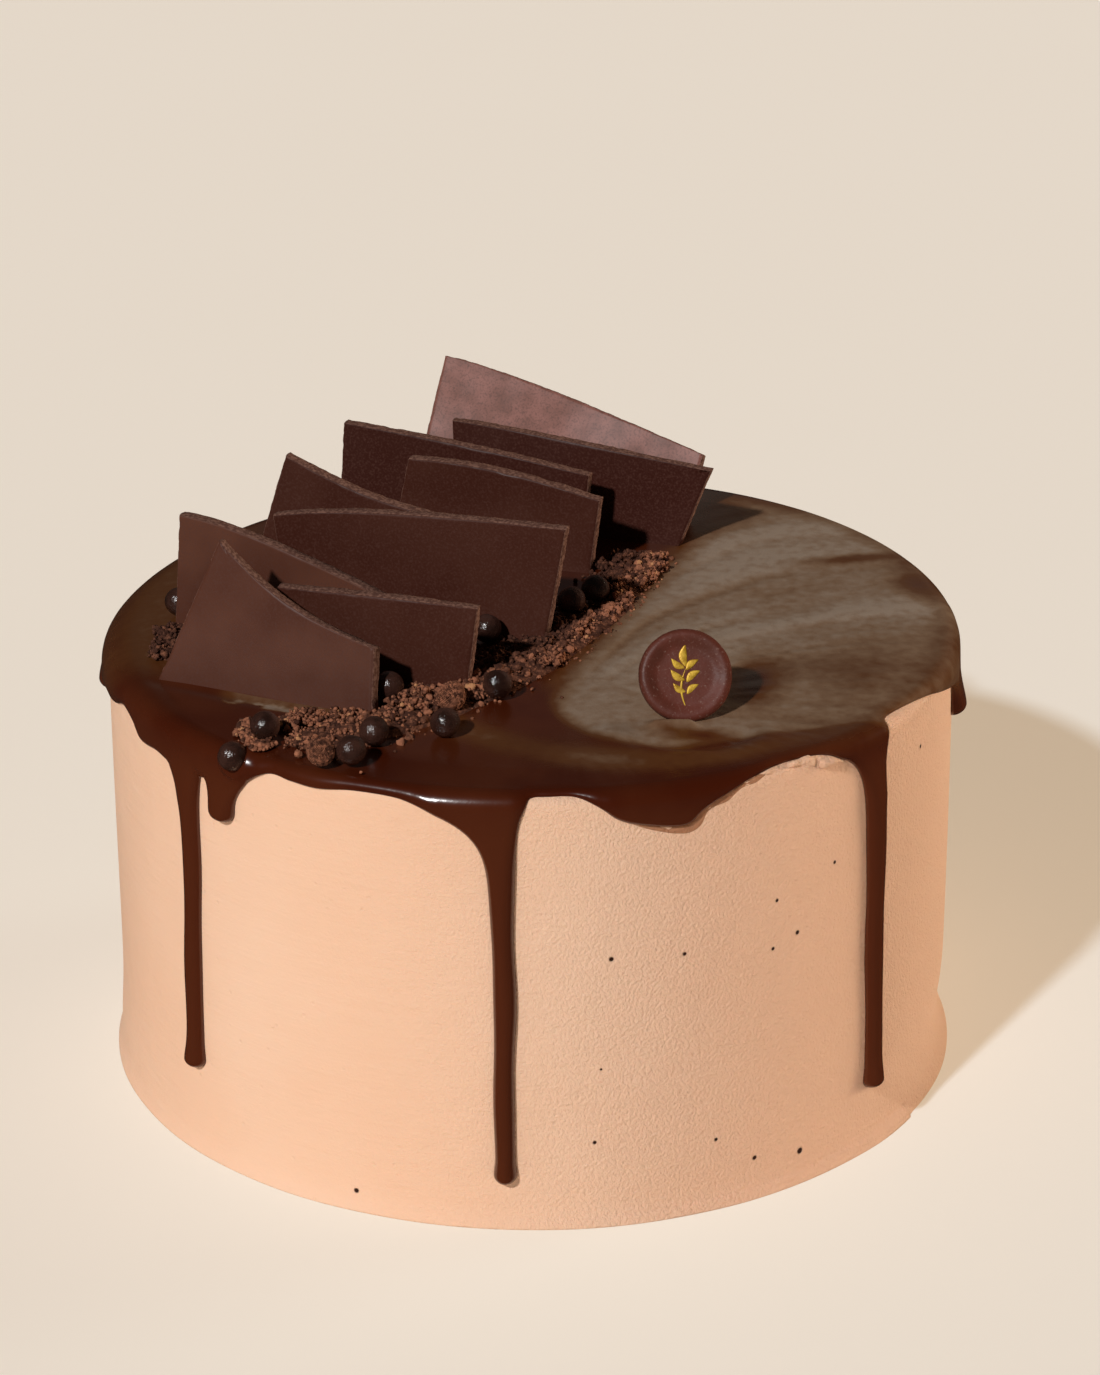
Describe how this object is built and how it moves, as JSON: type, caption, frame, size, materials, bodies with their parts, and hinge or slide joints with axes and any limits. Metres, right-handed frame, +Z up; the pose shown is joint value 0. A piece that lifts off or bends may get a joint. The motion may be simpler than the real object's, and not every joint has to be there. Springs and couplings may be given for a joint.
{
  "type": "ice cream cake",
  "caption": "Round frosted ice cream cake with a dark chocolate drip glaze, standing chocolate shards, cookie crumbs, crisp pearls and a chocolate coin on top.",
  "frame": {"origin": "middle of the cake's underside, on the surface it stands on", "axes": "+Z up, -Y towards the front, where the shards fan out from the left and the coin faces, +X to the right"},
  "size_m": [0.169, 0.1696, 0.115],
  "materials": {
    "peach_frosting": "soft satin buttercream with fine spatula marks and small pits",
    "dark_glaze": "dark chocolate ganache, matte and ridged on top, glossy at the rim and in the drips",
    "dark_chocolate": "thin set chocolate, satin faces and rough snapped edges",
    "pearl_chocolate": "glossy dark chocolate shell",
    "cookie_crumb": "dry crumbled chocolate cookie",
    "coin_chocolate": "satin reddish-brown chocolate with fine specks",
    "gold_paint": "edible gold paint, slightly grainy"
  },
  "bodies": {
    "root": {"cake_body": "peach_frosting", "chocolate_coin": "coin_chocolate", "chocolate_glaze": "dark_glaze", "crumb_ball_bank": "cookie_crumb", "crumb_ball_front": "cookie_crumb", "crumb_bank": "cookie_crumb", "crumb_patch_left": "cookie_crumb", "pearl_bank_far": "pearl_chocolate", "pearl_bank_front": "pearl_chocolate", "pearl_bank_near": "pearl_chocolate", "pearl_bank_shade": "pearl_chocolate", "pearl_bank_wide": "pearl_chocolate", "pearl_front_edge": "pearl_chocolate", "pearl_front_far": "pearl_chocolate", "pearl_front_left": "pearl_chocolate", "pearl_front_right": "pearl_chocolate", "pearl_left": "pearl_chocolate", "pearl_rim": "pearl_chocolate", "shard_back": "dark_chocolate", "shard_front": "dark_chocolate", "shard_front_right": "dark_chocolate", "shard_left": "dark_chocolate", "shard_mid": "dark_chocolate", "shard_mid_back": "dark_chocolate", "shard_peak": "dark_chocolate", "shard_rear": "dark_chocolate", "shard_wide": "dark_chocolate"}
  },
  "joints": []
}
